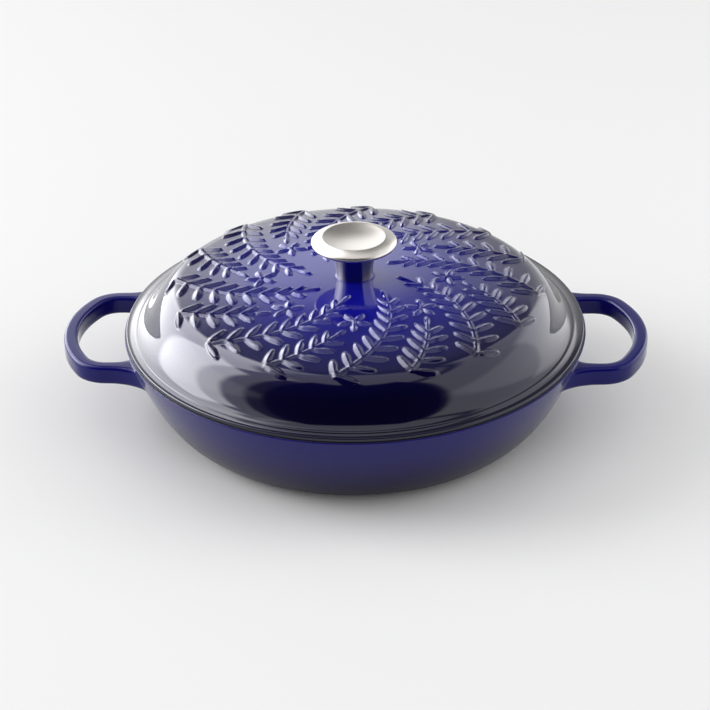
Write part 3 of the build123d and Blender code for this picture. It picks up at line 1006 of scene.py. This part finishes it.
def frond(field, section, turn, tip_radius, nodes):
    """A frond that swings inwards from the shoulder, with a pair of leaves at each node and one at
    its tip. The leaves shrink and close towards the tip."""
    relief = sizes("relief")
    root_radius = section.reach - relief.root_inset
    sweep = relief.sweep * (root_radius - tip_radius) / (root_radius - relief.tip_radius)
    first = -relief.shoulder_nodes

    def stem_point(node):
        share = node / nodes
        return polar(root_radius + (tip_radius - root_radius) * share, turn + sweep * share)

    for node in range(first, nodes + 1):
        share = max(0, node / nodes)
        start, end = stem_point(node - 1), stem_point(node)
        heading = math.atan2(end.y - start.y, end.x - start.x)
        if node > first:
            thick, thin = [
                relief.twig_width * (1.1 - 0.5 * (n - first) / (nodes - first)) for n in (node - 1, node)
            ]
            field.twig(start, end, thick, thin, relief.twig_rise)
        size = 1 - (1 - relief.small_leaf_share) * share ** 2
        angle = relief.leaf_angle - relief.leaf_closing * share
        for side in (1, -1) if node < nodes else (0,):
            field.leaf(
                end,
                heading + side * angle,
                relief.leaf_length * size,
                relief.leaf_width * size,
                relief.rise,
            )


def blossom(field, turn):
    relief = sizes("relief")
    centre = polar(relief.blossom_radius, turn)
    for petal in range(relief.petals):
        heading = turn + math.tau * petal / relief.petals
        start = centre + polar(relief.bud_width / 4, heading)
        field.leaf(start, heading, relief.petal_length, relief.petal_width, relief.rise)
    field.bud(centre, relief.bud_width, relief.bud_rise)


def relief_heights(section, x, y):
    """The raised pattern: long and short fronds in turn round the lid, with blossoms between them."""
    relief = sizes("relief")
    field = ReliefField(x, y)
    pitch = math.tau / relief.fronds
    for index in range(relief.fronds):
        turn = pitch * index
        frond(field, section, turn, relief.tip_radius, relief.nodes)
        frond(field, section, turn + pitch / 2, relief.short_tip_radius, relief.short_nodes)
        blossom(field, turn + pitch / 2 + relief.sweep * relief.blossom_sweep_share)
    return field.height


def carve_relief(piece, section):
    """Raises the pattern on the lid's top, square to its surface."""
    mesh = piece.data
    base = RIM_HEIGHT
    co = np.empty(len(mesh.vertices) * 3)
    mesh.vertices.foreach_get("co", co)
    co = co.reshape(-1, 3)
    outline = section.top(CROWN_RINGS * 4, SHOULDER_RINGS * 4, COVE_RINGS)
    radii = np.array([point.x for point in outline])
    heights = np.array([point.y for point in outline]) + base
    runs = np.hypot(np.diff(radii), np.diff(heights))
    reach = radii[0] + np.concatenate([[0], np.cumsum(runs)])
    slopes = np.gradient(heights, radii)
    radius = np.hypot(co[:, 0], co[:, 1])
    on_top = np.abs(co[:, 2] - np.interp(radius, radii, heights)) < 0.05 * MM
    top = np.flatnonzero(on_top & (radius > radii[0]) & (radius < radii[-1]))
    spread = np.interp(radius[top], radii, reach) / radius[top]
    height = relief_heights(section, co[top, 0] * spread, co[top, 1] * spread)
    slope = np.interp(radius[top], radii, slopes)
    across = -slope / np.hypot(1, slope)
    co[top, 0] += height * across * co[top, 0] / radius[top]
    co[top, 1] += height * across * co[top, 1] / radius[top]
    co[top, 2] += height / np.hypot(1, slope)
    mesh.vertices.foreach_set("co", co.ravel())
    mesh.update()


def lift_to_rim(outline):
    return [point + at(0, RIM_HEIGHT) for point in outline]


def lid_body():
    section = LidSection()
    piece = finished("lid_body", spin_outline(lift_to_rim(lid_outline(section)), LID_STEPS, ring=True))
    carve_relief(piece, section)
    return piece


def lid_lining():
    section = LidSection()
    coat = sizes("lid").lining
    outline = section.inside(0, 14) + section.inside(coat, 14)[::-1]
    return finished("lid_lining", spin_outline(lift_to_rim(outline), 48, ring=True))


def lid_rim_band():
    section, lid = LidSection(), sizes("lid")
    outline = ring_outline(section.lip_radius, section.radius - lid.flange_round, 0, lid.band, lid.band / 3)
    return finished("lid_rim_band", spin_outline(lift_to_rim(outline), 64, ring=True))


# Knob


def on_boss(outline):
    section = LidSection()
    return [point + at(0, RIM_HEIGHT + section.boss_height) for point in outline]


def knob_neck():
    knob = sizes("knob")
    foot, neck = knob.foot_radius, knob.foot_radius + knob.neck_spread
    top = knob.neck_height + knob.flare_height
    slope = knob.neck_spread * 2 / knob.neck_height
    outline = [at(0, knob.bore_depth), at(knob.bore_radius, knob.bore_depth), at(knob.bore_radius, 0)]
    outline += corner(at(0, 0), at(foot, 0), at(foot, top), knob.foot_edge, 3)
    outline += bezier([outline[-1], at(foot, knob.neck_height / 2), at(neck, knob.neck_height)], 14)[1:]
    outline += bezier(
        [outline[-1], at(neck + knob.flare_height * slope, top), at(neck + knob.flare_spread, top)], 12
    )[1:]
    outline.append(at(0, top))
    return finished("knob_neck", spin_outline(on_boss(outline), 32))


def knob_disc():
    knob = sizes("knob")
    under = knob.neck_height + knob.flare_height
    widest = under + knob.edge_rise
    high = widest + knob.shoulder_rise
    ridge = at(knob.cap_radius - knob.ridge_inset, high)
    edge = at(knob.cap_radius, widest)
    outline = [at(0, under), at(knob.cap_radius / 2, under)]
    outline += bezier([at(knob.cap_radius - knob.under_inset, under), at(knob.cap_radius, under), edge], 10)
    outline += bezier([edge, edge + at(0, knob.edge_round), ridge], 20)[1:-1]
    dish = []
    for step in range(1, 21):
        radius = ridge.x * (1 - step / 20)
        dish.append(at(radius, high - knob.dish_depth * (1 - (radius / ridge.x) ** 2)))
    outline += corner(outline[-1], ridge, dish[0], knob.ridge_round / 2, 4)
    outline += dish
    return finished("knob_disc", spin_outline(on_boss(outline), 40))


# Operators


class BRAISER_OT_pan(bpy.types.Operator):
    """Builds the pan casting with its two loop handles"""

    bl_idname = "braiser.pan"
    bl_label = "Pan and handles"

    def execute(self, context):
        dress(pan_body(), "pan", "blue_enamel_pan", pan_enamel(), "pan_casting")
        return {"FINISHED"}


class BRAISER_OT_pan_coats(bpy.types.Operator):
    """Builds the pan's pale lining and the black band on its rim"""

    bl_idname = "braiser.pan_coats"
    bl_label = "Pan lining and rim"

    def execute(self, context):
        lining = lining_enamel("pale_enamel_pan")
        dress(pan_lining(), "pan", "pale_enamel_pan", lining, "pan_interior_enamel")
        dress(pan_rim_band(), "pan", "black_enamel_pan", rim_enamel("black_enamel_pan"), "pan_rim_enamel")
        return {"FINISHED"}


class BRAISER_OT_lid(bpy.types.Operator):
    """Builds the lid casting with its raised pattern"""

    bl_idname = "braiser.lid"
    bl_label = "Lid"

    def execute(self, context):
        dress(lid_body(), "lid", "blue_enamel_lid", lid_enamel(), "lid_casting")
        return {"FINISHED"}


class BRAISER_OT_lid_coats(bpy.types.Operator):
    """Builds the lid's pale lining and the black band under its flange"""

    bl_idname = "braiser.lid_coats"
    bl_label = "Lid lining and rim"

    def execute(self, context):
        lining = lining_enamel("pale_enamel_lid")
        dress(lid_lining(), "lid", "pale_enamel_lid", lining, "lid_interior_enamel")
        dress(lid_rim_band(), "lid", "black_enamel_lid", rim_enamel("black_enamel_lid"), "lid_rim_enamel")
        return {"FINISHED"}


class BRAISER_OT_knob(bpy.types.Operator):
    """Builds the knob's cap and stem, and gives its screw and washer their steel"""

    bl_idname = "braiser.knob"
    bl_label = "Knob"

    def execute(self, context):
        tint = sizes("colours")
        cap = brushed_steel("brushed_cap", tint.cap, 0.3, 2600.0, 0.004 * MM)
        stem = brushed_steel("polished_stem", tint.stem, 0.06, 1800.0, 0.001 * MM)
        screw = brushed_steel("screw_steel", tint.screw, 0.2, 1500.0, 0.002 * MM)
        dress(knob_disc(), "lid", "brushed_cap", cap, "knob_cap")
        dress(knob_neck(), "lid", "polished_stem", stem, "knob_stem")
        for node in ("knob_screw", "screw_washer"):
            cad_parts[node].material_slots[0].material = screw
        return {"FINISHED"}


# Studio


def eased(tree, value, start, end):
    """0 where the value is at its start and 1 from its end on, with a soft change between."""
    node = add_node(
        tree,
        "ShaderNodeMapRange",
        {"interpolation_type": "SMOOTHSTEP"},
        Value=value,
        From_Min=start,
        From_Max=end,
    )
    return node.outputs[0]


def wall_mask(tree, direction, turn, width, softness):
    """1 for directions towards a wall of this width at this turn, seen from above."""
    level = add_node(tree, "ShaderNodeVectorMath", {"operation": "MULTIPLY"})
    tree.links.new(direction, level.inputs[0])
    level.inputs[1].default_value = (1, 1, 0)
    unit = add_node(tree, "ShaderNodeVectorMath", {"operation": "NORMALIZE"})
    tree.links.new(level.outputs[0], unit.inputs[0])
    side = add_node(tree, "ShaderNodeVectorMath", {"operation": "DOT_PRODUCT"})
    tree.links.new(unit.outputs[0], side.inputs[0])
    side.inputs[1].default_value = (math.cos(turn), math.sin(turn), 0)
    return eased(tree, side.outputs["Value"], math.cos(width / 2 + softness), math.cos(width / 2))


def height_mask(tree, height, top, softness):
    """1 for directions that rise less than a wall's top."""
    return eased(tree, height, math.sin(top + softness), math.sin(top))


def studio_world():
    """A room with bright walls at the left and behind, weaker ones at the right, a dark front where
    the camera stands, and a dim ceiling. Only glaze and metal mirror it. Everything else gets an even
    light, and the camera sees a plain backdrop."""
    studio = sizes("studio")
    world = bpy.data.worlds.new("studio")
    world.use_nodes = True
    tree = world.node_tree
    direction = add_node(tree, "ShaderNodeTexCoord").outputs["Generated"]
    height = add_node(tree, "ShaderNodeSeparateXYZ", None, Vector=direction).outputs[2]
    soft = studio.softness
    low = height_mask(tree, height, studio.room_top, soft)
    light = math_node(tree, "MULTIPLY_ADD", low, studio.room_light, studio.ceiling_light)
    overhead = eased(tree, height, math.sin(studio.overhead_edge), math.sin(studio.overhead_edge + soft))
    light = math_node(tree, "MULTIPLY_ADD", overhead, studio.overhead_light, light)
    for turn, width, top, power in ROOM_WALLS.values():
        wide = wall_mask(tree, direction, math.radians(turn), math.radians(width), soft)
        high = height_mask(tree, height, math.radians(top), soft)
        wall = math_node(tree, "MULTIPLY", wide, high)
        light = math_node(tree, "MULTIPLY_ADD", wall, power, light)
    front = wall_mask(tree, direction, -math.pi / 2, studio.dark_width, studio.dark_softness)
    below = height_mask(tree, height, studio.dark_top, studio.dark_softness)
    dark = math_node(tree, "MULTIPLY", front, below)
    light = math_node(tree, "MULTIPLY", light, math_node(tree, "SUBTRACT", 1.0, dark))
    path = add_node(tree, "ShaderNodeLightPath").outputs
    mirrored = path["Is Glossy Ray"]
    shown = studio.backdrop_light - studio.fill_light
    even = math_node(tree, "MULTIPLY_ADD", path["Is Camera Ray"], shown, studio.fill_light)
    spread = math_node(tree, "MULTIPLY", math_node(tree, "SUBTRACT", 1.0, mirrored), even)
    light = math_node(tree, "MULTIPLY_ADD", light, mirrored, spread)
    background = tree.nodes["Background"].inputs
    background["Color"].default_value = (1, 1, 1, 1)
    tree.links.new(light, background["Strength"])
    return world


# Lamps: place and width in metres, and the studio's value that holds the power
LAMPS = {
    "top_lamp": ((0, -0.4, 1.9), 2.4, "top_power"),
    "left_lamp": ((-2.5, 0.3, 1.2), 1.6, "left_power"),
    "right_lamp": ((1.5, 0.2, 0.8), 1.0, "right_power"),
}

# Half the floor's width in metres, and how far it lies under the foot ring
FLOOR_REACH = 6
FLOOR_DROP = 0.05 * MM


def add_lamp(name, place, size, power):
    """A square area lamp that faces the object and leaves no mirror image on it."""
    data = bpy.data.lights.new(name, "AREA")
    data.size = size
    data.energy = power
    lamp = bpy.data.objects.new(name, data)
    lamp.location = place
    lamp.rotation_euler = (-Vector(place)).to_track_quat("-Z", "Y").to_euler()
    lamp.visible_glossy = False
    bpy.context.scene.collection.objects.link(lamp)


class BRAISER_OT_stage(bpy.types.Operator):
    """Sets up the floor, the lamps, the world and the camera"""

    bl_idname = "braiser.stage"
    bl_label = "Studio"

    def execute(self, context):
        scene = context.scene
        studio = sizes("studio")
        tint = sizes("colours")
        bm = bmesh.new()
        bmesh.ops.create_grid(bm, x_segments=1, y_segments=1, size=FLOOR_REACH)
        bmesh.ops.translate(bm, verts=bm.verts[:], vec=(0, 0, -FLOOR_DROP))
        floor = finished("floor", bm)
        material, tree, shader = new_material("pale_floor", Roughness=1.0, Specular_IOR_Level=0.0)
        shader.inputs["Base Color"].default_value = (*tint.floor, 1)
        floor.data.materials.append(material)

        scene.world = studio_world()
        for name, (spot, width, power) in LAMPS.items():
            add_lamp(name, spot, width, getattr(studio, power))
        scene.view_settings.view_transform = "Standard"

        data = bpy.data.cameras.new("camera")
        data.lens = studio.lens
        camera = bpy.data.objects.new("camera", data)
        away = studio.camera_distance * math.cos(studio.camera_rise)
        place = Vector((
            away * math.sin(studio.camera_turn),
            -away * math.cos(studio.camera_turn),
            RIM_HEIGHT + studio.camera_distance * math.sin(studio.camera_rise),
        ))
        turn = Matrix.Rotation(studio.camera_turn + studio.camera_yaw, 4, "Z")
        pitch = Matrix.Rotation(math.pi / 2 - studio.camera_pitch, 4, "X")
        roll = Matrix.Rotation(studio.camera_roll, 4, "Z")
        camera.matrix_world = Matrix.Translation(place) @ turn @ pitch @ roll
        scene.collection.objects.link(camera)
        scene.camera = camera
        return {"FINISHED"}


class BRAISER_PT_panel(bpy.types.Panel):
    bl_idname = "BRAISER_PT_panel"
    bl_label = "Braiser"
    bl_space_type = "VIEW_3D"
    bl_region_type = "UI"
    bl_category = "Braiser"

    def draw(self, context):
        for operator in OPERATORS:
            self.layout.operator(operator.bl_idname)


GROUPS = {
    "pan": BraiserPanSizes,
    "handle": BraiserHandleSizes,
    "lid": BraiserLidSizes,
    "relief": BraiserReliefSizes,
    "knob": BraiserKnobSizes,
    "colours": BraiserColours,
    "studio": BraiserStudio,
}
OPERATORS = (
    BRAISER_OT_stage,
    BRAISER_OT_pan,
    BRAISER_OT_pan_coats,
    BRAISER_OT_lid,
    BRAISER_OT_lid_coats,
    BRAISER_OT_knob,
)
CLASSES = (*GROUPS.values(), *OPERATORS, BRAISER_PT_panel)


def register():
    for item in CLASSES:
        bpy.utils.register_class(item)
    for name, group in GROUPS.items():
        setattr(bpy.types.Scene, "braiser_" + name, PointerProperty(type=group))


def unregister():
    for name in GROUPS:
        delattr(bpy.types.Scene, "braiser_" + name)
    for item in reversed(CLASSES):
        bpy.utils.unregister_class(item)


def main():
    register()
    add_groups()
    bpy.ops.braiser.stage()
    bpy.ops.braiser.pan()
    bpy.ops.braiser.pan_coats()
    bpy.ops.braiser.lid()
    bpy.ops.braiser.lid_coats()
    bpy.ops.braiser.knob()
    bpy.context.view_layer.update()


if __name__ == "__main__":
    main()
